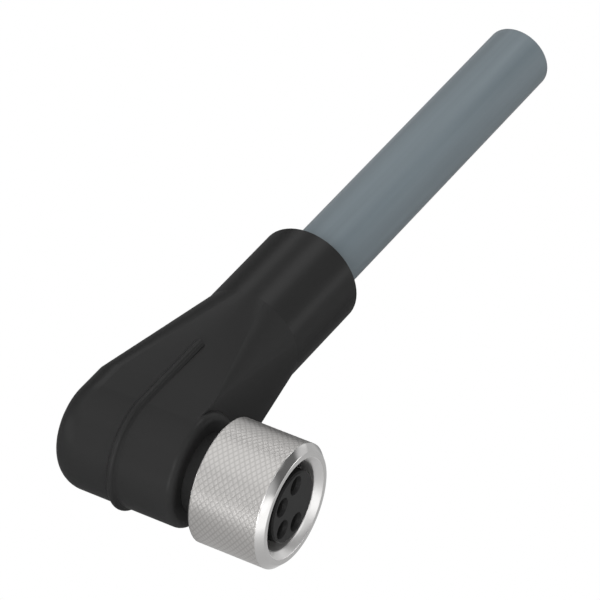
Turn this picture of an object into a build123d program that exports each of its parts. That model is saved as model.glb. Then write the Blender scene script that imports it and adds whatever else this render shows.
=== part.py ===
from build123d import *
import os
from math import cos, radians, sin

# Angled cable connector: a knurled screw nut on a four pole socket insert, moulded at a right
# angle onto a grey round cable.
#
# Frame: millimetres. The origin is the centre of the nut's front face. +X runs out of the mouth
# along the mating axis, +Y runs out of the strain relief along the cable, and +Z is up.
# Places along the mating axis are worked out backwards from the front face, so they are negative.

# Coupling nut, with an M8 x 1 thread
NUT_RADIUS = 4.85
NUT_LENGTH = 6.2
NUT_FRONT_CHAMFER_RADIAL = 0.49
NUT_FRONT_CHAMFER_AXIAL = 0.5
NUT_REAR_CHAMFER = 0.2
NUT_REAR_WALL = 0.4
THREAD_MAJOR_RADIUS = 4.0
THREAD_PITCH = 1.0
THREAD_DEPTH_PER_PITCH = 0.5413

# Split ring that holds the nut on the insert
RING_WIDTH = 0.5
RING_RADIAL_WIDTH = 0.63
RING_SPLIT = 1.2
RING_CLEARANCE = 0.05
NUT_FLOAT = 1.5
FLOAT_CLEARANCE = 0.05

# Insert that carries the contacts
NOSE_RADIUS = 2.8
NOSE_SETBACK = 0.25
NOSE_EDGE = 0.12
NECK_RADIUS = 3.12
NECK_TO_NUT_CLEARANCE = 0.18
SHOULDER_TO_THREAD_CLEARANCE = 0.08
SHOULDER_WIDTH = 0.8
INSERT_ANCHOR = 0.6
ANCHOR_GROOVE_DEPTH = 0.18
ANCHOR_GROOVE_WIDTH = 0.25

# Face seal round the insert
SEAL_SECTION = 0.68
SEAL_BEVEL = 0.2
SEAL_FRONT_CLEARANCE = 0.06
SEAL_GROOVE_DEPTH = 0.18

# Pattern of the four poles, seen on the mating face
POLE_CIRCLE_RADIUS = 1.78
WIDE_PAIR_ANGLE = 75.5
NARROW_PAIR_ANGLE = 144.0
POLE_MOUTH_RADIUS = 0.76
POLE_ENTRY_RADIUS = 0.62
POLE_THROAT_RADIUS = 0.57
POLE_FUNNEL_DEPTH = 0.3
POLE_ENTRY_DEPTH = 1.1

# Socket contacts
CONTACT_RADIUS = 0.7
CONTACT_CLEARANCE = 0.02
CONTACT_BORE_RADIUS = 0.525
CONTACT_BORE_DEPTH = 5.2
CONTACT_LEAD_IN = 0.12
TINE_LENGTH = 3.4
TINE_SLOT = 0.16
STOP_RADIUS = 0.88
STOP_WIDTH = 0.5
CUP_RADIUS = 0.55
CUP_WALL = 0.18
CUP_DEPTH = 1.0
CUP_LENGTH = 1.2
CUP_OPENING_LENGTH = 0.6

# Plate that closes the insert behind the contacts
PLATE_SEAT_WALL = 0.38
PLATE_THICKNESS = 0.6
PLATE_CLEARANCE = 0.02

# Cores and conductors
CONDUCTOR_RADIUS = 0.32
CORE_RADIUS = 0.65
CORE_SPACING = 0.75
STRIP_LENGTH = 0.2
CORE_BEND_CUT = 0.9
CORES_GATHERED_AT = 6.0

# Cable
JACKET_RADIUS = 2.74
JACKET_BORE_CLEARANCE = 0.03
JACKET_START = 7.2
CABLE_FREE_LENGTH = 32.54

# Outer moulding: head, collar, taper and strain relief
HEAD_RADIUS = 4.49
HEAD_DEPTH = 10.27
HEAD_STRAIGHT = 2.6
HEAD_BACK_EDGE = 2.31
HEAD_FRONT_EDGE = 0.1
COLLAR_HEIGHT = 0.65
COLLAR_LIP = 0.6
CABLE_AXIS_INSET = 4.58
TAPER_END = 14.82
RELIEF_RADIUS = 4.25
RELIEF_END = 23.58
RELIEF_EDGE = 0.12
TOP_FACET_ANGLES = (71.5, 101.5)
FRONT_FACET_ANGLE = 16.5

# Bead that wraps the end of the head
BEAD_WIDTH = 0.54
BEAD_HEIGHT = 0.34
BEAD_ROOT = 0.14
BEAD_END = 7.8
BEAD_OFF_CABLE_AXIS = 0.08

# Inner moulding round the joints and the end of the jacket
OUTER_SKIN = 1.2
BACK_SKIN = 2.1
BLOCK_PAST_HEAD = 1.0
BARREL_WALL = 0.5
JACKET_GRIP = 2.6

# Places along the mating axis, from the front face backwards
THREAD_MINOR_RADIUS = THREAD_MAJOR_RADIUS - THREAD_DEPTH_PER_PITCH * THREAD_PITCH
NUT_BACK = -NUT_LENGTH
RING_GROOVE_BACK = NUT_BACK + NUT_REAR_WALL
RING_BACK = RING_GROOVE_BACK + RING_CLEARANCE
RING_FRONT = RING_BACK + RING_WIDTH
RING_GROOVE_FRONT = RING_FRONT + RING_CLEARANCE
SHOULDER_BACK = RING_FRONT + RING_CLEARANCE
SHOULDER_FRONT = SHOULDER_BACK + SHOULDER_WIDTH
SEAL_GROOVE_FRONT = SHOULDER_FRONT + SEAL_SECTION + SEAL_FRONT_CLEARANCE
NOSE_FRONT = -NOSE_SETBACK
COLLAR_FRONT = NUT_BACK - NUT_FLOAT - FLOAT_CLEARANCE
HEAD_FRONT = COLLAR_FRONT - COLLAR_HEIGHT
HEAD_BACK = HEAD_FRONT - HEAD_DEPTH
INSERT_BACK = HEAD_FRONT - INSERT_ANCHOR
PLATE_FRONT = INSERT_BACK + PLATE_THICKNESS
CONTACT_FRONT = NOSE_FRONT - POLE_ENTRY_DEPTH
CUP_BACK = INSERT_BACK - CUP_LENGTH
CORE_FRONT = CUP_BACK - STRIP_LENGTH
CABLE_X = HEAD_FRONT - CABLE_AXIS_INSET

# Radii that fit one another
RING_INNER_RADIUS = NECK_RADIUS + RING_CLEARANCE
RING_OUTER_RADIUS = RING_INNER_RADIUS + RING_RADIAL_WIDTH
RING_GROOVE_RADIUS = RING_OUTER_RADIUS + RING_CLEARANCE
SHOULDER_RADIUS = THREAD_MINOR_RADIUS - SHOULDER_TO_THREAD_CLEARANCE
SEAL_FLOOR_RADIUS = NOSE_RADIUS - SEAL_GROOVE_DEPTH
SEAL_OUTER_RADIUS = SEAL_FLOOR_RADIUS + SEAL_SECTION
PLATE_SEAT_RADIUS = NECK_RADIUS - PLATE_SEAT_WALL
PLATE_RADIUS = PLATE_SEAT_RADIUS - PLATE_CLEARANCE
CORE_PITCH_RADIUS = CORE_SPACING * 2 ** 0.5
JACKET_BORE_RADIUS = CORE_PITCH_RADIUS + CORE_RADIUS + JACKET_BORE_CLEARANCE
BARREL_RADIUS = JACKET_RADIUS + BARREL_WALL
BARREL_END = JACKET_START + JACKET_GRIP
CABLE_END = RELIEF_END + CABLE_FREE_LENGTH

# The middle of a quarter round lies this share of its radius out from its centre, along each axis
DIAGONAL = sin(radians(45))

# Each pole's place on the face, the way its core leaves, and its number in the nodes' names.
# The pair nearer the cable turns inside the other pair.
POLES = [
    (1, NARROW_PAIR_ANGLE, -1),
    (2, WIDE_PAIR_ANGLE, 1),
    (3, -WIDE_PAIR_ANGLE, 1),
    (4, -NARROW_PAIR_ANGLE, -1),
]


def turned(outline):
    """A solid turned about the mating axis, from (x, radius) points."""
    face = make_face(Polyline([(x, r, 0) for x, r in outline], close=True))
    return revolve(face, axis=Axis.X)


def rod(radius, back, front, y=0.0, z=0.0):
    """A round bar parallel to the mating axis."""
    place = Pos(back, y, z) * Rot(0, 90, 0)
    return place * Cylinder(radius, front - back, align=(Align.CENTER, Align.CENTER, Align.MIN))


def cable_rod(radius, start, end):
    """A round bar on the cable's axis."""
    place = Pos(CABLE_X, start, 0) * Rot(-90, 0, 0)
    return place * Cylinder(radius, end - start, align=(Align.CENTER, Align.CENTER, Align.MIN))


def pole_place(angle):
    """Where a pole's axis meets the mating face, as (y, z)."""
    return POLE_CIRCLE_RADIUS * cos(radians(angle)), POLE_CIRCLE_RADIUS * sin(radians(angle))


def coupling_nut():
    front_rim = NUT_RADIUS - NUT_FRONT_CHAMFER_RADIAL
    countersink = THREAD_MAJOR_RADIUS - THREAD_MINOR_RADIUS
    rear_bore = NECK_RADIUS + NECK_TO_NUT_CLEARANCE
    return turned([
        (0, THREAD_MAJOR_RADIUS),
        (0, front_rim),
        (-NUT_FRONT_CHAMFER_AXIAL, NUT_RADIUS),
        (NUT_BACK + NUT_REAR_CHAMFER, NUT_RADIUS),
        (NUT_BACK, NUT_RADIUS - NUT_REAR_CHAMFER),
        (NUT_BACK, rear_bore),
        (RING_GROOVE_BACK, rear_bore),
        (RING_GROOVE_BACK, RING_GROOVE_RADIUS),
        (RING_GROOVE_FRONT, RING_GROOVE_RADIUS),
        (RING_GROOVE_FRONT, THREAD_MINOR_RADIUS),
        (-countersink, THREAD_MINOR_RADIUS),
    ])


def retaining_ring():
    ring = turned([
        (RING_BACK, RING_INNER_RADIUS),
        (RING_BACK, RING_OUTER_RADIUS),
        (RING_FRONT, RING_OUTER_RADIUS),
        (RING_FRONT, RING_INNER_RADIUS),
    ])
    middle = (RING_BACK + RING_FRONT) / 2
    mean_radius = (RING_INNER_RADIUS + RING_OUTER_RADIUS) / 2
    split = Pos(middle, -mean_radius, 0) * Box(2 * RING_WIDTH, 2 * RING_RADIAL_WIDTH, RING_SPLIT)
    return ring - split


def insert_envelope():
    """The insert's outside, which the mouldings close round."""
    groove_front = INSERT_BACK + ANCHOR_GROOVE_WIDTH + (INSERT_ANCHOR - ANCHOR_GROOVE_WIDTH) / 2
    groove_back = groove_front - ANCHOR_GROOVE_WIDTH
    return turned([
        (NOSE_FRONT, 0),
        (NOSE_FRONT, NOSE_RADIUS - NOSE_EDGE),
        (NOSE_FRONT - NOSE_EDGE, NOSE_RADIUS),
        (SEAL_GROOVE_FRONT, NOSE_RADIUS),
        (SEAL_GROOVE_FRONT, SEAL_FLOOR_RADIUS),
        (SHOULDER_FRONT, SEAL_FLOOR_RADIUS),
        (SHOULDER_FRONT, SHOULDER_RADIUS),
        (SHOULDER_BACK, SHOULDER_RADIUS),
        (SHOULDER_BACK, NECK_RADIUS),
        (groove_front, NECK_RADIUS),
        (groove_front, NECK_RADIUS - ANCHOR_GROOVE_DEPTH),
        (groove_back, NECK_RADIUS - ANCHOR_GROOVE_DEPTH),
        (groove_back, NECK_RADIUS),
        (INSERT_BACK, NECK_RADIUS),
        (INSERT_BACK, 0),
    ])


def pole_cavity(angle):
    """The stepped hole for one contact: a funnel, a drafted entry, a long bore and a stop seat."""
    y, z = pole_place(angle)
    bore = CONTACT_RADIUS + CONTACT_CLEARANCE
    stop_seat = STOP_RADIUS + CONTACT_CLEARANCE
    stop_front = PLATE_FRONT + STOP_WIDTH
    outline = [
        (NOSE_FRONT, 0),
        (NOSE_FRONT, POLE_MOUTH_RADIUS),
        (NOSE_FRONT - POLE_FUNNEL_DEPTH, POLE_ENTRY_RADIUS),
        (CONTACT_FRONT, POLE_THROAT_RADIUS),
        (CONTACT_FRONT, bore),
        (stop_front, bore),
        (stop_front, stop_seat),
        (PLATE_FRONT, stop_seat),
        (PLATE_FRONT, 0),
    ]
    return Pos(0, y, z) * turned(outline)


def contact_insert():
    insert = insert_envelope()
    for _, angle, _ in POLES:
        insert -= pole_cavity(angle)
    return insert - rod(PLATE_SEAT_RADIUS, INSERT_BACK, PLATE_FRONT)


def contact_plate():
    plate = rod(PLATE_RADIUS, INSERT_BACK, PLATE_FRONT)
    for _, angle, _ in POLES:
        y, z = pole_place(angle)
        plate -= rod(CUP_RADIUS + CONTACT_CLEARANCE, INSERT_BACK, PLATE_FRONT, y, z)
    return plate


def seal_ring():
    """A square section on the groove's floor and the shoulder, with its front face bevelled to a lip."""
    front = SHOULDER_FRONT + SEAL_SECTION
    return turned([
        (SHOULDER_FRONT, SEAL_FLOOR_RADIUS),
        (SHOULDER_FRONT, SEAL_OUTER_RADIUS),
        (front - SEAL_BEVEL, SEAL_OUTER_RADIUS),
        (front, SEAL_OUTER_RADIUS - SEAL_BEVEL),
        (front, SEAL_FLOOR_RADIUS + SEAL_BEVEL),
        (front - SEAL_BEVEL, SEAL_FLOOR_RADIUS),
    ])


def socket_contact(angle):
    """A turned socket with four spring tines, a stop and a solder cup."""
    y, z = pole_place(angle)
    stop_front = PLATE_FRONT + STOP_WIDTH
    bore_end = CONTACT_FRONT - CONTACT_BORE_DEPTH
    cup_bore = CUP_RADIUS - CUP_WALL
    body = turned([
        (CONTACT_FRONT, 0),
        (CONTACT_FRONT, CONTACT_RADIUS - CONTACT_LEAD_IN),
        (CONTACT_FRONT - CONTACT_LEAD_IN, CONTACT_RADIUS),
        (stop_front, CONTACT_RADIUS),
        (stop_front, STOP_RADIUS),
        (PLATE_FRONT, STOP_RADIUS),
        (PLATE_FRONT, CUP_RADIUS),
        (CUP_BACK, CUP_RADIUS),
        (CUP_BACK, 0),
    ])
    body -= turned([
        (CONTACT_FRONT, 0),
        (CONTACT_FRONT, CONTACT_BORE_RADIUS + CONTACT_LEAD_IN),
        (CONTACT_FRONT - CONTACT_LEAD_IN, CONTACT_BORE_RADIUS),
        (bore_end, CONTACT_BORE_RADIUS),
        (bore_end, 0),
    ])
    slot_middle = CONTACT_FRONT - TINE_LENGTH / 2
    for turn in (0, 90):
        blade = Box(TINE_LENGTH, TINE_SLOT, 3 * CONTACT_RADIUS)
        body -= Pos(slot_middle, 0, 0) * Rot(turn, 0, 0) * blade
    body -= rod(cup_bore, CUP_BACK, CUP_BACK + CUP_DEPTH)
    upper_half = (Align.MIN, Align.CENTER, Align.MIN)
    opening = Box(CUP_OPENING_LENGTH, 2 * CUP_RADIUS, CUP_RADIUS, align=upper_half)
    body -= Pos(CUP_BACK, 0, 0) * opening
    return Pos(0, y, z) * body


def core_route(angle, side, start):
    """One core's way: back from its contact, kinked round the corner, gathered, and along the cable."""
    y, z = pole_place(angle)
    run_x = CABLE_X + side * CORE_SPACING
    run_z = CORE_SPACING if z > 0 else -CORE_SPACING
    return Polyline(
        (start, y, z),
        (run_x + CORE_BEND_CUT, y, z),
        (run_x, y + CORE_BEND_CUT, z),
        (run_x, CORES_GATHERED_AT, run_z),
        (run_x, CABLE_END, run_z),
    )


def swept_round(route, radius):
    """A round bar along a route that starts towards the back."""
    section = Plane(origin=route @ 0, z_dir=route % 0) * Circle(radius)
    return sweep(section, path=route, transition=Transition.RIGHT)


def conductor(angle, side):
    return swept_round(core_route(angle, side, CUP_BACK + CUP_DEPTH), CONDUCTOR_RADIUS)


def core_insulation(angle, side):
    return swept_round(core_route(angle, side, CORE_FRONT), CORE_RADIUS) - conductor(angle, side)


def cable_jacket():
    return cable_rod(JACKET_RADIUS, JACKET_START, CABLE_END) - cable_rod(
        JACKET_BORE_RADIUS, JACKET_START, CABLE_END
    )


def stadium(radius, back, front, reach):
    """A block with a half round end about the mating axis, reaching along the cable."""
    block = Pos((back + front) / 2, 0, 0) * Box(
        front - back, reach, 2 * radius, align=(Align.CENTER, Align.MIN, Align.CENTER)
    )
    return rod(radius, back, front) + block


def inner_mould_envelope():
    """The inner moulding's outside, a skin's thickness inside the head."""
    block = stadium(
        HEAD_RADIUS - OUTER_SKIN, HEAD_BACK + BACK_SKIN, INSERT_BACK, HEAD_STRAIGHT + BLOCK_PAST_HEAD
    )
    return block + cable_rod(BARREL_RADIUS, 0, BARREL_END)


def inner_mould():
    mould = inner_mould_envelope()
    for _, angle, side in POLES:
        y, z = pole_place(angle)
        mould -= rod(CUP_RADIUS, CUP_BACK, INSERT_BACK, y, z)
        mould -= swept_round(core_route(angle, side, CORE_FRONT), CORE_RADIUS)
        mould -= rod(CONDUCTOR_RADIUS, CORE_FRONT, CUP_BACK, y, z)
    return mould - cable_rod(JACKET_RADIUS, JACKET_START, CABLE_END)


def head_section():
    """The head's outline across the cable: square to the front, well rounded at the back."""
    top = HEAD_RADIUS
    back_line = HEAD_BACK + HEAD_BACK_EDGE
    front_line = HEAD_FRONT - HEAD_FRONT_EDGE
    corners = [
        (back_line, top - HEAD_BACK_EDGE, HEAD_BACK_EDGE, 135),
        (front_line, top - HEAD_FRONT_EDGE, HEAD_FRONT_EDGE, 45),
        (front_line, HEAD_FRONT_EDGE - top, HEAD_FRONT_EDGE, -45),
        (back_line, HEAD_BACK_EDGE - top, HEAD_BACK_EDGE, -135),
    ]
    arcs = [corner_arc(x, z, radius, middle, HEAD_STRAIGHT) for x, z, radius, middle in corners]
    return closed_by_lines(arcs)


def corner_arc(x, z, radius, middle, y, half=45.0):
    """An arc across the cable, clockwise seen from the cable's end, through its middle angle."""
    points = [
        (x + radius * cos(radians(a)), y, z + radius * sin(radians(a)))
        for a in (middle + half, middle, middle - half)
    ]
    return ThreePointArc(*points)


def closed_by_lines(arcs):
    """A face bounded by the arcs in turn, each joined to the next by a straight edge."""
    edges = []
    for here, after in zip(arcs, arcs[1:] + arcs[:1]):
        edges += [here, Line(here @ 1, after @ 0)]
    return make_face(edges)


def relief_section():
    """The strain relief's circle as eight arcs, one for each edge of the head's section."""
    facet_front, facet_back = TOP_FACET_ANGLES
    side = FRONT_FACET_ANGLE
    marks = [180 - side, facet_back, facet_front, side, -side, -facet_front, -facet_back, side - 180]
    edges = []
    for first, last in zip(marks, marks[1:] + [marks[0] - 360]):
        middle = (first + last) / 2
        edges.append(corner_arc(CABLE_X, 0, RELIEF_RADIUS, middle, TAPER_END, (first - last) / 2))
    return make_face(edges)


def head():
    """The head's straight stretch and its half round end, with the back edge rounded all along."""
    straight = extrude(head_section(), amount=HEAD_STRAIGHT, dir=(0, -1, 0))
    top = HEAD_RADIUS
    back_line = HEAD_BACK + HEAD_BACK_EDGE
    edge_middle = (
        back_line - HEAD_BACK_EDGE * DIAGONAL,
        top - HEAD_BACK_EDGE + HEAD_BACK_EDGE * DIAGONAL,
    )
    outline = [
        Line((HEAD_FRONT, 0), (HEAD_FRONT, top)),
        Line((HEAD_FRONT, top), (back_line, top)),
        ThreePointArc((back_line, top), edge_middle, (HEAD_BACK, top - HEAD_BACK_EDGE)),
        Line((HEAD_BACK, top - HEAD_BACK_EDGE), (HEAD_BACK, 0)),
        Line((HEAD_BACK, 0), (HEAD_FRONT, 0)),
    ]
    half = revolve(Rot(90, 0, 0) * make_face(outline), axis=Axis.X, revolution_arc=180)
    return straight + half


def collar():
    """The round collar behind the nut, as wide as the head, with a rounded lip."""
    lip_line = COLLAR_FRONT - COLLAR_LIP
    lip_middle = (
        lip_line + COLLAR_LIP * DIAGONAL,
        HEAD_RADIUS - COLLAR_LIP + COLLAR_LIP * DIAGONAL,
    )
    outline = [
        Line((INSERT_BACK, 0), (INSERT_BACK, HEAD_RADIUS)),
        Line((INSERT_BACK, HEAD_RADIUS), (lip_line, HEAD_RADIUS)),
        ThreePointArc((lip_line, HEAD_RADIUS), lip_middle, (COLLAR_FRONT, HEAD_RADIUS - COLLAR_LIP)),
        Line((COLLAR_FRONT, HEAD_RADIUS - COLLAR_LIP), (COLLAR_FRONT, 0)),
        Line((COLLAR_FRONT, 0), (INSERT_BACK, 0)),
    ]
    return revolve(make_face(outline), axis=Axis.X)


def strain_relief():
    relief = cable_rod(RELIEF_RADIUS, TAPER_END, RELIEF_END)
    return chamfer(relief.edges().group_by(Axis.Y)[-1], RELIEF_EDGE)


def bead():
    """A half round bead along the top, round the end of the head and back along the underside."""
    half = BEAD_WIDTH / 2
    foot = half + BEAD_ROOT
    surface = HEAD_RADIUS
    crown = surface + BEAD_HEIGHT
    root = surface - BEAD_ROOT
    outline = [
        Line((-foot, root), (-foot, surface)),
        Line((-foot, surface), (-half, surface + BEAD_ROOT)),
        ThreePointArc((-half, surface + BEAD_ROOT), (0, crown), (half, surface + BEAD_ROOT)),
        Line((half, surface + BEAD_ROOT), (foot, surface)),
        Line((foot, surface), (foot, root)),
        Line((foot, root), (-foot, root)),
    ]
    section = Rot(90, 0, 0) * make_face(outline)
    round_end = Rot(90, 0, 0) * revolve(make_face(outline), axis=Axis.X, revolution_arc=180)
    leg = extrude(section, amount=BEAD_END, dir=(0, 1, 0))
    under = Rot(180, 0, 0) * extrude(section, amount=BEAD_END, dir=(0, -1, 0))
    return Pos(CABLE_X + BEAD_OFF_CABLE_AXIS, 0, 0) * (leg + round_end + under)


def outer_mould():
    """Head, collar, taper, strain relief and bead: one moulding round everything inside."""
    taper = loft([head_section(), relief_section()], ruled=True)
    mould = head() + taper + strain_relief() + collar() + bead()
    mould -= inner_mould_envelope()
    mould -= insert_envelope()
    return mould - cable_rod(JACKET_RADIUS, JACKET_START, CABLE_END)


def build():
    """Every node by name."""
    nodes = {
        "coupling_nut": coupling_nut(),
        "retaining_ring": retaining_ring(),
        "contact_insert": contact_insert(),
        "contact_plate": contact_plate(),
        "seal_ring": seal_ring(),
        "inner_mould": inner_mould(),
        "outer_mould": outer_mould(),
        "cable_jacket": cable_jacket(),
    }
    for number, angle, side in POLES:
        nodes[f"socket_contact_{number}"] = socket_contact(angle)
        nodes[f"conductor_{number}"] = conductor(angle, side)
        nodes[f"core_insulation_{number}"] = core_insulation(angle, side)
    return nodes


os.makedirs("parts", exist_ok=True)
for name, solid in build().items():
    export_step(solid, f"parts/{name}.step")
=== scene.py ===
"""Looks of an angled cable connector: knurled screw nut, socket insert, moulded body and cut cable."""
from math import cos, pi, radians, sin, tau

import bpy
from bpy.props import FloatProperty, FloatVectorProperty, IntProperty, PointerProperty
from bpy.types import Operator, Panel, PropertyGroup
from mathutils import Matrix, Vector


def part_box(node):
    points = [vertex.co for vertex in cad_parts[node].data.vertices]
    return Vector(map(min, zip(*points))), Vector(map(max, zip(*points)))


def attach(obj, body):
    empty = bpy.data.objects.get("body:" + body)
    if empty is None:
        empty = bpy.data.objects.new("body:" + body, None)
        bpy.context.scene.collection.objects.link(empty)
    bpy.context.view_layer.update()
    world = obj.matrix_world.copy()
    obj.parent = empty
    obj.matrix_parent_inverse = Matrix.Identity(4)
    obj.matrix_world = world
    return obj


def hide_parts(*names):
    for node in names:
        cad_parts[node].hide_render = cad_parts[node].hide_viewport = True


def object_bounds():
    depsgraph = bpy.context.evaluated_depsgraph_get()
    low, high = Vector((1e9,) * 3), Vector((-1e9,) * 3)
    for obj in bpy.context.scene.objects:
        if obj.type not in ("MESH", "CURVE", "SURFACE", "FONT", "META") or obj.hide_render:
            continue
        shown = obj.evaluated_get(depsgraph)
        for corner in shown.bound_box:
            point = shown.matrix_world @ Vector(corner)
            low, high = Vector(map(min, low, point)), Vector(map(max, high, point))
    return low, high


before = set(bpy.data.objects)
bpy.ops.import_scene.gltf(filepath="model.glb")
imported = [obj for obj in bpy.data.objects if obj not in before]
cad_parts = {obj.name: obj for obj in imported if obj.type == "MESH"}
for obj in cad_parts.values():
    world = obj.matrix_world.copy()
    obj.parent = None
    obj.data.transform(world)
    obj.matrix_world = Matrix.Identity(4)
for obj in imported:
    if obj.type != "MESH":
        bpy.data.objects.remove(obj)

bl_info = {
    "name": "Angled cable connector",
    "version": (1, 0, 0),
    "blender": (4, 5, 0),
    "location": "3D View > Sidebar > Connector",
    "description": "Dresses the packed connector with its finishes, knurl, thread and cable",
    "category": "Object",
}

MM = 0.001
CAD_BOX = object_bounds()


def linear(hex_colour):
    """A colour written as sRGB hex, such as #a0a0a0, as linear red, green and blue."""
    channels = [int(hex_colour[i:i + 2], 16) / 255 for i in (1, 3, 5)]
    return tuple(c / 12.92 if c <= 0.04045 else ((c + 0.055) / 1.055) ** 2.4 for c in channels)


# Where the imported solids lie, in metres
NUT_LOW, NUT_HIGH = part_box("coupling_nut")
JACKET_LOW, JACKET_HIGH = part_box("cable_jacket")
NUT_RADIUS = NUT_HIGH.y
JACKET_RADIUS = JACKET_HIGH.z
CABLE_X = (JACKET_LOW.x + JACKET_HIGH.x) / 2
RELIEF_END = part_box("outer_mould")[1].y
POLES = range(1, 5)


class NutSettings(PropertyGroup):
    """Knurl, thread and colours of the screw nut."""

    knurl_starts: IntProperty(
        name="Knurl starts", description="Grooves of each hand round the nut", default=48, min=8)
    knurl_pitch: FloatProperty(
        name="Knurl pitch", description="Distance between grooves of one hand, along the nut",
        default=0.4545 * MM, unit="LENGTH", subtype="DISTANCE", precision=5)
    knurl_depth: FloatProperty(
        name="Knurl depth", description="Depth of the grooves below the diamonds",
        default=0.0078 * MM, unit="LENGTH", subtype="DISTANCE", precision=5)
    thread_pitch: FloatProperty(
        name="Thread pitch", description="Pitch of the female thread",
        default=1.0 * MM, unit="LENGTH", subtype="DISTANCE", precision=5)
    colour: FloatVectorProperty(
        name="Nickel", description="Colour of the plating on the turned faces",
        default=linear("#c4c3c2"), size=3, subtype="COLOR", min=0, max=1)
    # Painted light: the bore and its countersink get a paler copy of the nickel, standing in for light
    # reaching into them.
    bore_lit_colour: FloatVectorProperty(
        name="Bore", description="Colour of the plating in the bore and its countersink",
        default=linear("#dcdbda"), size=3, subtype="COLOR", min=0, max=1)
    diamond_colour: FloatVectorProperty(
        name="Diamonds", description="Colour of the plating on the knurl's diamonds",
        default=linear("#bdbbb9"), size=3, subtype="COLOR", min=0, max=1)
    # Painted shade: the grooves get a darker copy of the plating colour, standing in for the shade down in
    # them.
    groove_shade_colour: FloatVectorProperty(
        name="Grooves", description="Colour of the plating down in the knurl's grooves",
        default=linear("#a7a5a3"), size=3, subtype="COLOR", min=0, max=1)


class BodySettings(PropertyGroup):
    """Colours and grain of the mouldings and the insert."""

    colour: FloatVectorProperty(
        name="Moulding", description="Colour of the outer moulding",
        default=linear("#292929"), size=3, subtype="COLOR", min=0, max=1)
    insert_colour: FloatVectorProperty(
        name="Insert", description="Colour of the socket insert",
        default=linear("#222222"), size=3, subtype="COLOR", min=0, max=1)
    grain: FloatProperty(
        name="Grain", description="Size of the mould's fine grain",
        default=0.09 * MM, unit="LENGTH", subtype="DISTANCE", precision=5)


class CableSettings(PropertyGroup):
    """Colour and surface of the cable."""

    colour: FloatVectorProperty(
        name="Jacket", description="Darker colour of the jacket, between its streaks",
        default=linear("#576268"), size=3, subtype="COLOR", min=0, max=1)
    streak_colour: FloatVectorProperty(
        name="Streaks", description="Colour of the faint streaks along the jacket",
        default=linear("#6d787e"), size=3, subtype="COLOR", min=0, max=1)
    streak_width: FloatProperty(
        name="Streak width", description="Width of one streak round the jacket",
        default=0.9 * MM, unit="LENGTH", subtype="DISTANCE", precision=5)


class StageSettings(PropertyGroup):
    """Floor and lamps."""

    floor_colour: FloatVectorProperty(
        name="Floor", description="Colour of the floor",
        default=linear("#d0d0d0"), size=3, subtype="COLOR", min=0, max=1)
    lamp_strength: FloatProperty(
        name="Lamps", description="Share of the lamps' usual strength", default=1.0, min=0.0)


def add_node(tree, kind, inputs=None, **settings):
    """Adds one node, with its settings, and with a value or a link on each named input."""
    node = tree.nodes.new(kind)
    for name, value in settings.items():
        setattr(node, name, value)
    for socket, value in (inputs or {}).items():
        if isinstance(value, bpy.types.NodeSocket):
            tree.links.new(value, node.inputs[socket])
        else:
            node.inputs[socket].default_value = value
    return node


def new_material(name):
    """An empty node material, and its node tree."""
    material = bpy.data.materials.new(name)
    material.use_nodes = True
    material.node_tree.nodes.clear()
    return material, material.node_tree


def with_surface(material, shader):
    """The material, with this shader as its surface."""
    add_node(material.node_tree, "ShaderNodeOutputMaterial", {"Surface": shader.outputs[0]})
    return material


def rgba(colour):
    """The colour with full alpha, as a colour socket wants it."""
    return (*colour, 1.0)


def distance_from_axis(tree, parts):
    """The distance from the mating axis of a place that is split into X, Y and Z."""
    squares = [add_node(tree, "ShaderNodeMath", {0: parts.outputs[axis], 1: 2.0}, operation="POWER")
               for axis in ("Y", "Z")]
    added = add_node(tree, "ShaderNodeMath", {0: squares[0].outputs[0], 1: squares[1].outputs[0]})
    return add_node(tree, "ShaderNodeMath", {0: added.outputs[0]}, operation="SQRT").outputs[0]


# Sockets of a Mix node that mixes two colours
COLOUR_A, COLOUR_B, COLOUR_OUT = 6, 7, 2
# Height of the bumps in every finish
BUMP_HEIGHT = 0.01 * MM
# The tool's real feed marks are about 0.03 mm apart. They are drawn at 0.06 mm, so that they show.
FEED_MARKS = 0.06 * MM
# Size of the grit that the rolling and the plating leave on the knurl
PLATING_GRIT = 0.05 * MM


def nickel_turned(name, colour, roughness):
    """Nickel plated brass, turned: bright, with hair-fine rings left by the tool."""
    material, tree = new_material(name)
    place = add_node(tree, "ShaderNodeTexCoord").outputs["Object"]
    parts = add_node(tree, "ShaderNodeSeparateXYZ", {"Vector": place})
    radius = distance_from_axis(tree, parts)
    ring = add_node(tree, "ShaderNodeCombineXYZ", {"X": parts.outputs["X"], "Y": radius})
    marks = add_node(tree, "ShaderNodeTexNoise", {"Vector": ring.outputs[0], "Scale": 1 / FEED_MARKS})
    bump = add_node(tree, "ShaderNodeBump",
                    {"Height": marks.outputs["Fac"], "Strength": 0.05, "Distance": BUMP_HEIGHT})
    return with_surface(material, add_node(tree, "ShaderNodeBsdfPrincipled", {
        "Base Color": rgba(colour), "Metallic": 1.0, "Roughness": roughness,
        "Normal": bump.outputs["Normal"],
    }))


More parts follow.
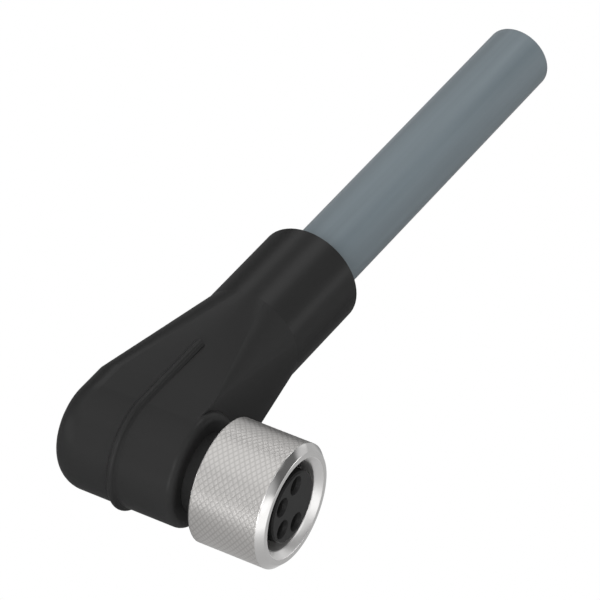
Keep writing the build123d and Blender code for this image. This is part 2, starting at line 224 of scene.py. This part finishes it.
def nickel_knurled(settings):
    """Nickel plated brass, rolled into a diamond knurl: satin diamonds, and grooves darkened with painted
    shade.
    """
    material, tree = new_material("nickel_plated_brass_knurled")
    place = add_node(tree, "ShaderNodeTexCoord").outputs["Object"]
    parts = add_node(tree, "ShaderNodeSeparateXYZ", {"Vector": place})
    height = add_node(tree, "ShaderNodeMapRange", {
        "Value": distance_from_axis(tree, parts),
        "From Min": NUT_RADIUS - settings.knurl_depth, "From Max": NUT_RADIUS,
    })
    # Painted shade: the plating is darker towards the bottom of each groove.
    colour = add_node(tree, "ShaderNodeMix", {
        "Factor": height.outputs[0],
        COLOUR_A: rgba(settings.groove_shade_colour), COLOUR_B: rgba(settings.diamond_colour),
    }, data_type="RGBA")
    grit = add_node(tree, "ShaderNodeTexNoise", {"Vector": place, "Scale": 1 / PLATING_GRIT})
    bump = add_node(tree, "ShaderNodeBump",
                    {"Height": grit.outputs["Fac"], "Strength": 0.04, "Distance": BUMP_HEIGHT})
    return with_surface(material, add_node(tree, "ShaderNodeBsdfPrincipled", {
        "Base Color": colour.outputs[COLOUR_OUT], "Metallic": 1.0, "Roughness": 0.36,
        "Normal": bump.outputs["Normal"],
    }))


# The flow of the plastic leaves patches about this wide, whose roughness differs by this much.
FLOW_PATCH = 4 * MM
FLOW_CHANGE = 0.01


def satin_plastic(name, colour, grain, roughness, specular=0.3):
    """A moulded plastic or rubber: one even colour, and the fine grain of an eroded mould."""
    material, tree = new_material(name)
    place = add_node(tree, "ShaderNodeTexCoord").outputs["Object"]
    fine = add_node(tree, "ShaderNodeTexNoise", {"Vector": place, "Scale": 1 / grain, "Detail": 3.0})
    patches = add_node(tree, "ShaderNodeTexNoise",
                       {"Vector": place, "Scale": 1 / FLOW_PATCH, "Detail": 2.0})
    rough = add_node(tree, "ShaderNodeMapRange", {
        "Value": patches.outputs["Fac"],
        "To Min": roughness - FLOW_CHANGE, "To Max": roughness + FLOW_CHANGE,
    })
    bump = add_node(tree, "ShaderNodeBump",
                    {"Height": fine.outputs["Fac"], "Strength": 0.06, "Distance": BUMP_HEIGHT})
    return with_surface(material, add_node(tree, "ShaderNodeBsdfPrincipled", {
        "Base Color": rgba(colour), "Roughness": rough.outputs[0], "Specular IOR Level": specular,
        "Normal": bump.outputs["Normal"],
    }))


# The streaks that the die leaves run on along the cable: their pattern repeats this many times as often
# along it as across it.
STREAK_RUN = 0.03


def extruded_jacket(settings):
    """Grey PVC from an extruder: soft satin, paler at its rims, with faint streaks along the cable."""
    material, tree = new_material("pvc_extruded_grey")
    place = add_node(tree, "ShaderNodeTexCoord").outputs["Object"]
    along = add_node(tree, "ShaderNodeMapping", {"Vector": place, "Scale": (1.0, STREAK_RUN, 1.0)})
    streaks = add_node(tree, "ShaderNodeTexNoise", {
        "Vector": along.outputs[0], "Scale": 1 / settings.streak_width, "Detail": 2.0,
    })
    colour = add_node(tree, "ShaderNodeMix", {
        "Factor": streaks.outputs["Fac"],
        COLOUR_A: rgba(settings.colour), COLOUR_B: rgba(settings.streak_colour),
    }, data_type="RGBA")
    return with_surface(material, add_node(tree, "ShaderNodeBsdfPrincipled", {
        "Base Color": colour.outputs[COLOUR_OUT], "Roughness": 0.5, "Specular IOR Level": 0.28,
        "Sheen Weight": 0.13, "Sheen Roughness": 0.5,
    }))


# Tarnish on the small metal parts comes in spots this wide, whose roughness differs by this much.
TARNISH_SPOT = 0.2 * MM
TARNISH_CHANGE = 0.05


def plain_metal(name, colour, roughness):
    """A drawn, rolled or turned metal, slightly uneven, that only shows inside or at the cut end."""
    material, tree = new_material(name)
    place = add_node(tree, "ShaderNodeTexCoord").outputs["Object"]
    spots = add_node(tree, "ShaderNodeTexNoise", {"Vector": place, "Scale": 1 / TARNISH_SPOT})
    rough = add_node(tree, "ShaderNodeMapRange", {
        "Value": spots.outputs["Fac"],
        "To Min": roughness - TARNISH_CHANGE, "To Max": roughness + TARNISH_CHANGE,
    })
    return with_surface(material, add_node(tree, "ShaderNodeBsdfPrincipled", {
        "Base Color": rgba(colour), "Metallic": 1.0, "Roughness": rough.outputs[0],
    }))


def assign(node, material):
    """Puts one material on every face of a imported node."""
    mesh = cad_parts[node].data
    mesh.materials.clear()
    mesh.materials.append(material)


def turned_mesh(name, rings, columns, materials, finish_of=lambda row: 0):
    """A closed mesh from rings round the mating axis.

    Each ring is a place along the axis and a radius, or a function that gives the radius there. Row i of
    faces runs from ring i to the next, and finish_of gives the number of its material.
    """
    mesh = bpy.data.meshes.new(name)
    verts = []
    for along, radius in rings:
        for c in range(columns):
            angle = tau * c / columns
            r = radius(along, angle) if callable(radius) else radius
            verts.append((along, r * cos(angle), r * sin(angle)))
    faces = []
    rows = len(rings)
    for i in range(rows):
        j = (i + 1) % rows
        for c in range(columns):
            d = (c + 1) % columns
            faces.append((i * columns + c, j * columns + c, j * columns + d, i * columns + d))
    mesh.from_pydata(verts, [], faces)
    mesh.update()
    for material in materials:
        mesh.materials.append(material)
    mesh.polygons.foreach_set("material_index", [finish_of(k // columns) for k in range(len(faces))])
    mesh.polygons.foreach_set("use_smooth", [True] * len(faces))
    obj = bpy.data.objects.new(name, mesh)
    bpy.context.scene.collection.objects.link(obj)
    return obj


# Points of the arc that rounds one corner, and the most that it takes of the side next to it
ARC_POINTS = 4
ARC_SHARE = 0.4


def rounded_outline(points, radius):
    """The closed outline's corners turned into short arcs, as (along, radius) points."""
    out = []
    n = len(points)
    for i in range(n):
        before, here, after = Vector(points[i - 1]), Vector(points[i]), Vector(points[(i + 1) % n])
        a, b = before - here, after - here
        cut = min(radius, a.length * ARC_SHARE, b.length * ARC_SHARE)
        start, end = here + a.normalized() * cut, here + b.normalized() * cut
        for k in range(ARC_POINTS):
            t = k / (ARC_POINTS - 1)
            out.append(tuple((1 - t) ** 2 * start + 2 * t * (1 - t) * here + t ** 2 * end))
    return out


def rings_between(start, stop, step, radius):
    """Rings from start up to stop, one step apart. The step is negative towards the back."""
    rings = []
    along = start
    while (stop - along) * step > 0:
        rings.append((along, radius))
        along += step
    return rings


# The nut's front: chamfer, mouth of the countersink, the arcs that round its edges, and how far into the
# knurl the last arc is guided
CHAMFER_DEPTH = 0.49 * MM
CHAMFER_LENGTH = 0.5 * MM
MOUTH_RADIUS = 3.93 * MM
FRONT_ARC = 0.04 * MM
ARC_GUIDE = 0.05 * MM
# The countersink is slightly crowned, by this much at its middle, and has rings at these shares of its
# length. Two more rings keep its inner edge sharp, this far behind it.
SINK_CROWN = 0.012 * MM
SINK_PLACES = (0.02, 0.2, 0.4, 0.6, 0.8)
SINK_EDGE = (0.04 * MM, 0.02 * MM)
# The nut's back: chamfer, opening for the neck, wall, and groove for the retaining ring
REAR_CHAMFER = 0.12 * MM
REAR_BORE = 3.3 * MM
REAR_WALL = 0.4 * MM
RING_GROOVE_RADIUS = 3.85 * MM
RING_GROOVE_END = 1.0 * MM
REAR_ARC = 0.03 * MM
# M8 thread: its two radii, where it ends behind the front face, and the lengths over which it fades at
# the front and at the back
THREAD_MINOR = 3.4587 * MM
THREAD_MAJOR = 4.0 * MM
THREAD_SETBACK = 1.6 * MM
THREAD_FADES = (0.6 * MM, 0.3 * MM)
# Shares of half a pitch that the root and the flank take
THREAD_ROOT = 0.15
THREAD_FLANK = 0.72
# Distance between the thread's rings, and where the first one is
THREAD_STEP = 0.07 * MM
THREAD_LEAD = 0.02 * MM
# The knurl: how far each hand of grooves is shifted, in pitches, the samples in one pitch, the groove's
# share of the pitch, the curve of its flanks, and the small step between the knurl and the chamfers
KNURL_PHASES = (0.847, 0.124)
KNURL_SAMPLES = 10
GROOVE_SHARE = 0.38
GROOVE_CURVE = 0.8
KNURL_STEP = 0.02 * MM
# The nut's finishes, in the order of its mesh's materials
TURNED, KNURLED, COUNTERSUNK, BORED = range(4)


def knurl_radius(settings):
    """The radius of the knurled band at a place along the nut and an angle round it."""
    starts, pitch, depth = settings.knurl_starts, settings.knurl_pitch, settings.knurl_depth

    def radius(along, angle):
        cut = 0.0
        for hand, phase in zip((1, -1), KNURL_PHASES):
            turns = starts * angle / tau + hand * along / pitch + phase
            off = abs(turns - round(turns)) * 2
            groove = max(0.0, 1 - off / GROOVE_SHARE)
            cut = max(cut, groove ** GROOVE_CURVE)
        return NUT_RADIUS - depth * cut

    return radius


def thread_radius(pitch, back, front):
    """The radius of the threaded bore, between back and front, at a place along it and an angle round it."""
    fade_front, fade_back = THREAD_FADES

    def radius(along, angle):
        turns = along / pitch - angle / tau
        off = abs(turns - round(turns)) * 2
        fade = min(1.0, (front - along) / fade_front, (along - back) / fade_back)
        tooth = max(0.0, min(1.0, (off - THREAD_ROOT) / THREAD_FLANK))
        return THREAD_MINOR + (THREAD_MAJOR - THREAD_MINOR) * (1 - tooth) * max(0.0, fade)

    return radius


class CONNECTOR_OT_nut(Operator):
    """Make the knurled nut, threaded inside, in place of the plain packed nut"""

    bl_idname = "connector.nut"
    bl_label = "Make the nut"

    def execute(self, context):
        settings = context.scene.connector_nut
        front, back = NUT_HIGH.x, NUT_LOW.x
        knurl_front, knurl_back = front - CHAMFER_LENGTH, back + REAR_CHAMFER
        thread_front, thread_back = front - THREAD_SETBACK, back + RING_GROOVE_END
        sink = front - (THREAD_MAJOR - THREAD_MINOR)

        # The first and the last corner only guide the arcs between them.
        nose = rounded_outline([
            (sink, THREAD_MINOR), (front, MOUTH_RADIUS), (front, NUT_RADIUS - CHAMFER_DEPTH),
            (knurl_front, NUT_RADIUS), (knurl_front - ARC_GUIDE, NUT_RADIUS - KNURL_STEP),
        ], FRONT_ARC)[ARC_POINTS:-ARC_POINTS]
        band = rings_between(knurl_front - KNURL_STEP, knurl_back, -settings.knurl_pitch / KNURL_SAMPLES,
                             knurl_radius(settings))
        tail = rounded_outline([
            (knurl_back, NUT_RADIUS - KNURL_STEP), (back, NUT_RADIUS - REAR_CHAMFER), (back, REAR_BORE),
            (back + REAR_WALL, REAR_BORE), (back + REAR_WALL, RING_GROOVE_RADIUS),
            (thread_back, RING_GROOVE_RADIUS), (thread_back, THREAD_MINOR),
        ], REAR_ARC)
        bore = rings_between(thread_back + THREAD_LEAD, thread_front, THREAD_STEP,
                             thread_radius(settings.thread_pitch, thread_back, thread_front))
        bore += [(thread_front, THREAD_MINOR), *((sink - gap, THREAD_MINOR) for gap in SINK_EDGE)]
        countersink = []
        for t in SINK_PLACES:
            # The crown rises squarely from the cone, which slopes at about 45 degrees.
            rise = SINK_CROWN * 4 * t * (1 - t) * cos(pi / 4)
            countersink.append((sink + (front - sink) * t + rise,
                                THREAD_MINOR + (MOUTH_RADIUS - THREAD_MINOR) * t - rise))

        # The countersink's finish takes in half of the arc at its mouth, and the bore's takes in the end of
        # the tail's last arc.
        rings = [*nose, *band, *tail, *bore, *countersink]
        band_start = len(nose)
        tail_end = len(nose) + len(band) + len(tail)
        sink_start = len(rings) - len(countersink)

        def finish_of(row):
            if band_start - 1 <= row < band_start + len(band):
                return KNURLED
            if row < 2 or row >= sink_start:
                return COUNTERSUNK
            return BORED if row >= tail_end - 2 else TURNED

        # The chamfers and the face are cut last and shine. The countersink is duller, and the tapped bore
        # is nearly matt.
        materials = [
            nickel_turned("nickel_plated_brass_turned", settings.colour, roughness=0.12),
            nickel_knurled(settings),
            # Painted light: the countersink and the bore take the paler copy of the nickel.
            nickel_turned("nickel_plated_brass_countersunk", settings.bore_lit_colour, roughness=0.37),
            nickel_turned("nickel_plated_brass_bored", settings.bore_lit_colour, roughness=0.6),
        ]
        columns = settings.knurl_starts * KNURL_SAMPLES
        obj = turned_mesh("knurled_nut", rings, columns, materials, finish_of)
        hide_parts("coupling_nut")
        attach(obj, "nut")
        return {"FINISHED"}


# Brown, white, blue and black, the usual order of the four cores
CORE_COLOURS = ("#6b4226", "#e9e9e4", "#2b4f9c", "#1c1c1c")


class CONNECTOR_OT_body(Operator):
    """Give the mouldings, the insert and the pieces inside their finishes"""

    bl_idname = "connector.body"
    bl_label = "Finish the body"

    def execute(self, context):
        settings = context.scene.connector_body
        grain = settings.grain
        # Polyurethane out of an eroded mould: charcoal and soft, with dim, wide highlights
        charcoal = satin_plastic("polyurethane_moulded_charcoal", settings.colour, grain,
                                 roughness=0.28, specular=0.045)
        # Polyamide out of a finer mould: black and dull
        black = satin_plastic("polyamide_moulded_black", settings.insert_colour, grain,
                              roughness=0.4, specular=0.065)
        # Moulded nitrile rubber: black and nearly without gloss
        rubber = satin_plastic("nitrile_rubber_moulded_black", linear("#1a1a1a"), grain, roughness=0.6)
        # Rolled bronze for the spring, and turned brass with a thin gold plating: warm, half bright
        bronze = plain_metal("phosphor_bronze_rolled", linear("#b08a5c"), roughness=0.35)
        gilt = plain_metal("brass_turned_gold_plated", linear("#d9b25f"), roughness=0.25)
        # Drawn copper, cut bare: reddish and a little dull
        copper = plain_metal("copper_drawn_bare", linear("#c9825c"), roughness=0.35)
        assign("outer_mould", charcoal)
        assign("inner_mould", black)
        assign("contact_insert", black)
        assign("contact_plate", black)
        assign("seal_ring", rubber)
        assign("retaining_ring", bronze)
        for number, colour in zip(POLES, CORE_COLOURS):
            assign(f"socket_contact_{number}", gilt)
            assign(f"conductor_{number}", copper)
            # Extruded PVC: one even colour, smooth and half glossy
            insulation = satin_plastic(f"pvc_extruded_core_{number}", linear(colour), grain, roughness=0.4)
            assign(f"core_insulation_{number}", insulation)
        return {"FINISHED"}


# The jacket: how far it reaches into the relief, the radius of its bore, the arcs at its ends, and the
# mesh's columns round it and rows along it
CABLE_GRIP = 0.4 * MM
CABLE_BORE = 1.7407 * MM
CABLE_ARC = 0.05 * MM
CABLE_COLUMNS = 128
CABLE_ROWS = 32


class CONNECTOR_OT_cable(Operator):
    """Make the cable's jacket, cut square at its far end"""

    bl_idname = "connector.cable"
    bl_label = "Make the cable"

    def execute(self, context):
        settings = context.scene.connector_cable
        start, end = RELIEF_END - CABLE_GRIP, JACKET_HIGH.y
        outline = rounded_outline([
            (start, JACKET_RADIUS), (end, JACKET_RADIUS), (end, CABLE_BORE), (start, CABLE_BORE),
        ], CABLE_ARC)
        side = [(start + (end - start) * k / CABLE_ROWS, JACKET_RADIUS) for k in range(1, CABLE_ROWS)]
        rings = [*outline[:ARC_POINTS], *side, *outline[ARC_POINTS:]]
        obj = turned_mesh("cable", rings, CABLE_COLUMNS, [extruded_jacket(settings)])
        # The mesh is turned about X, and the cable runs along Y.
        obj.data.transform(Matrix.Translation((CABLE_X, 0, 0)) @ Matrix.Rotation(pi / 2, 4, "Z"))
        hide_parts("cable_jacket")
        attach(obj, "connector")
        path = [(CABLE_X, start, 0), (CABLE_X, end, 0)]
        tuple(path[0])
        return {"FINISHED"}


# The photo's view, solved from the connector's own edges. The camera stands this far back from the mouth,
# moved this far to its own right and up, and its lens is in millimetres.
CAMERA_AZIMUTH = radians(30.9943)
CAMERA_ELEVATION = radians(38.8897)
CAMERA_DISTANCE = 365.69 * MM
CAMERA_RIGHT = 0.3107 * MM
CAMERA_UP = 14.9898 * MM
CAMERA_LENS = 305.286
CAMERA_CLIP = (0.01, 20.0)

# Soft boxes round the stage, which give the nut its bright and dark bands: name, azimuth, elevation, half
# angle, half angle of the even middle, all in degrees, and radiance. Azimuth 0 is out of the mouth and 90
# is along the cable.
SOFT_BOXES = (
    ("front low", -84, 0, 19, 10, 12.0),
    ("front high", -74, 35, 15, 5.5, 10.0),
    ("back high", 85, 49, 15, 4.6, 6.0),
    ("back right low", 39.5, 2, 13.6, 4, 5.3),
    ("back left", 134, 34, 14, 4, 3.0),
    ("left low", -146, -2, 38, 10, 2.6),
    ("right high", -4, 51, 13.5, 4, 2.4),
    ("left high", 179, 60, 31, 26, 1.65),
    ("right low", -24, 3.5, 22, 6.7, 1.3),
    ("right wide", -48, 26, 56, 13, 1.17),
    ("back low", 65, 1, 27, 7.6, 1.14),
    ("right top", 28.5, 57, 22, 8.4, 1.07),
    ("front left", -112, 44, 25, 10.5, 1.05),
    ("back wide", 101, 17, 34, 18.5, 0.91),
    ("front wide", -100, 13, 45, 22, 0.21),
    ("right dim", 34, 26, 30, 14, 0.25),
)
# The paper floor: half its width in metres, and how far it lies below the connector
FLOOR_REACH = 1.5
FLOOR_GAP = 0.01 * MM
# How bright glossy rays see the paper, and how much brighter a painted pool of light makes it in front of
# the mouth: towards which side, and between which distances that way
PAPER_SHINE = 0.68
PAPER_GLOW = 1.07
PAPER_GLOW_SIDE = Vector((0.82, -0.57, 0))
PAPER_GLOW_REACH = (2 * MM, 24 * MM)
# How bright glossy rays see the paper in the connector's painted shadow, and where that painted shadow
# starts and is full, along the mating axis and towards its side
PAPER_SHADE = 0.17
SHADE_X = (1 * MM, -6 * MM)
SHADE_SIDE = Vector((-0.8, 0.6, 0))
SHADE_EDGE = (2 * MM, 6 * MM)


def make_camera(scene):
    """Puts the scene's camera where the photo was taken from."""
    a, e = CAMERA_AZIMUTH, CAMERA_ELEVATION
    right = Vector((cos(a), sin(a), 0))
    back = Vector((sin(a) * cos(e), -cos(a) * cos(e), sin(e)))
    up = back.cross(right)
    camera = bpy.data.objects.new("camera", bpy.data.cameras.new("camera"))
    camera.data.lens = CAMERA_LENS
    camera.data.clip_start, camera.data.clip_end = CAMERA_CLIP
    turn = Matrix((right, up, back)).transposed().to_4x4()
    stand = right * CAMERA_RIGHT + up * CAMERA_UP + back * CAMERA_DISTANCE
    camera.matrix_world = Matrix.Translation(stand) @ turn
    scene.collection.objects.link(camera)
    scene.camera = camera


def paper(settings):
    """Matt white paper: pure white to the camera. Glossy rays see it with a painted pool of light in front
    of the mouth and a painted shadow behind and beside the connector.
    """
    material, tree = new_material("paper_backdrop_white")
    light = add_node(tree, "ShaderNodeLightPath").outputs
    place = add_node(tree, "ShaderNodeTexCoord").outputs["Object"]

    # Mirrored, the paper gets a painted pool of light in front of the mouth.
    ahead = add_node(tree, "ShaderNodeVectorMath", {0: place, 1: PAPER_GLOW_SIDE}, operation="DOT_PRODUCT")
    shine = add_node(tree, "ShaderNodeMapRange", {
        "Value": ahead.outputs["Value"], "From Min": PAPER_GLOW_REACH[0], "From Max": PAPER_GLOW_REACH[1],
        "To Min": PAPER_SHINE, "To Max": PAPER_SHINE + PAPER_GLOW,
    }, interpolation_type="SMOOTHSTEP")

    # Mirrored, it gets a painted shadow of the connector, past both of its edges.
    aside = add_node(tree, "ShaderNodeVectorMath", {0: place, 1: SHADE_SIDE}, operation="DOT_PRODUCT")
    past_side = add_node(tree, "ShaderNodeMapRange", {
        "Value": aside.outputs["Value"], "From Min": SHADE_EDGE[0], "From Max": SHADE_EDGE[1],
    }, interpolation_type="SMOOTHSTEP")
    parts = add_node(tree, "ShaderNodeSeparateXYZ", {"Vector": place})
    past_mouth = add_node(tree, "ShaderNodeMapRange", {
        "Value": parts.outputs["X"], "From Min": SHADE_X[0], "From Max": SHADE_X[1],
    }, interpolation_type="SMOOTHSTEP")
    shaded = add_node(tree, "ShaderNodeMath", {0: past_mouth.outputs[0], 1: past_side.outputs[0]},
                      operation="MULTIPLY")
    mirrored = add_node(tree, "ShaderNodeMix", {
        "Factor": shaded.outputs[0], "A": shine.outputs[0], "B": PAPER_SHADE,
    })
    strength = add_node(tree, "ShaderNodeMix", {
        "Factor": light["Is Glossy Ray"], "A": 1.0, "B": mirrored.outputs[0],
    })

    # Camera and transmission rays see plain white, and glossy rays see the painted glow and shadow. All
    # others see matt paper, which keeps the real shadow.
    seen = light["Is Camera Ray"]
    for ray in ("Is Transmission Ray", "Is Glossy Ray"):
        seen = add_node(tree, "ShaderNodeMath", {0: seen, 1: light[ray]}, operation="MAXIMUM").outputs[0]
    matt = add_node(tree, "ShaderNodeBsdfDiffuse", {"Color": rgba(settings.floor_colour)})
    white = add_node(tree, "ShaderNodeEmission", {"Strength": strength.outputs[0]})
    return with_surface(material, add_node(tree, "ShaderNodeMixShader", {
        0: seen, 1: matt.outputs[0], 2: white.outputs[0],
    }))


def make_floor(scene, settings):
    """Lays the paper under the connector."""
    mesh = bpy.data.meshes.new("floor")
    level = CAD_BOX[0].z - FLOOR_GAP
    corners = [(x * FLOOR_REACH, y * FLOOR_REACH, level) for x, y in ((-1, -1), (1, -1), (1, 1), (-1, 1))]
    mesh.from_pydata(corners, [], [(0, 1, 2, 3)])
    mesh.materials.append(paper(settings))
    floor = bpy.data.objects.new("floor", mesh)
    scene.collection.objects.link(floor)


def make_studio(scene, settings):
    """Lights the stage with the soft boxes. The camera sees plain white instead of them."""
    world = bpy.data.worlds.new("studio")
    scene.world = world
    world.use_nodes = True
    tree = world.node_tree
    tree.nodes.clear()
    way = add_node(tree, "ShaderNodeTexCoord").outputs["Generated"]
    total = 0.0
    for name, azimuth, elevation, half, even, radiance in SOFT_BOXES:
        a, e = radians(azimuth), radians(elevation)
        towards = Vector((cos(a) * cos(e), sin(a) * cos(e), sin(e)))
        near = add_node(tree, "ShaderNodeVectorMath", {0: way, 1: towards}, operation="DOT_PRODUCT",
                        label=name)
        box = add_node(tree, "ShaderNodeMapRange", {
            "Value": near.outputs["Value"], "From Min": cos(radians(half)), "From Max": cos(radians(even)),
            "To Max": radiance * settings.lamp_strength,
        }, interpolation_type="SMOOTHSTEP")
        total = add_node(tree, "ShaderNodeMath", {0: total, 1: box.outputs[0]}).outputs[0]
    boxes = add_node(tree, "ShaderNodeBackground", {"Strength": total})
    plain = add_node(tree, "ShaderNodeBackground", {"Strength": 1.0})
    light = add_node(tree, "ShaderNodeLightPath")
    mix = add_node(tree, "ShaderNodeMixShader", {
        0: light.outputs["Is Camera Ray"], 1: boxes.outputs[0], 2: plain.outputs[0],
    })
    add_node(tree, "ShaderNodeOutputWorld", {"Surface": mix.outputs[0]})


class CONNECTOR_OT_stage(Operator):
    """Make the floor, the lamps and the camera"""

    bl_idname = "connector.stage"
    bl_label = "Make the stage"

    def execute(self, context):
        scene = context.scene
        make_camera(scene)
        make_floor(scene, scene.connector_stage)
        make_studio(scene, scene.connector_stage)
        scene.view_settings.view_transform = "Standard"
        return {"FINISHED"}


class CONNECTOR_PT_panel(Panel):
    """Lists the connector's pieces and their sizes"""

    bl_label = "Connector"
    bl_idname = "CONNECTOR_PT_panel"
    bl_space_type = "VIEW_3D"
    bl_region_type = "UI"
    bl_category = "Connector"

    def draw(self, context):
        scene = context.scene
        for operator, (group, _) in zip(OPERATORS, GROUPS):
            self.layout.operator(operator.bl_idname)
            settings = getattr(scene, group)
            for name in settings.bl_rna.properties.keys():
                if name not in ("rna_type", "name"):
                    self.layout.prop(settings, name)


OPERATORS = (CONNECTOR_OT_nut, CONNECTOR_OT_body, CONNECTOR_OT_cable, CONNECTOR_OT_stage)
GROUPS = (
    ("connector_nut", NutSettings),
    ("connector_body", BodySettings),
    ("connector_cable", CableSettings),
    ("connector_stage", StageSettings),
)


def register():
    for name, group in GROUPS:
        bpy.utils.register_class(group)
        setattr(bpy.types.Scene, name, PointerProperty(type=group))
    for cls in (*OPERATORS, CONNECTOR_PT_panel):
        bpy.utils.register_class(cls)


def unregister():
    for cls in (CONNECTOR_PT_panel, *reversed(OPERATORS)):
        bpy.utils.unregister_class(cls)
    for name, group in reversed(GROUPS):
        delattr(bpy.types.Scene, name)
        bpy.utils.unregister_class(group)


def main():
    register()
    bpy.ops.connector.stage()
    bpy.ops.connector.cable()
    bpy.ops.connector.nut()
    bpy.ops.connector.body()


if __name__ == "__main__":
    main()
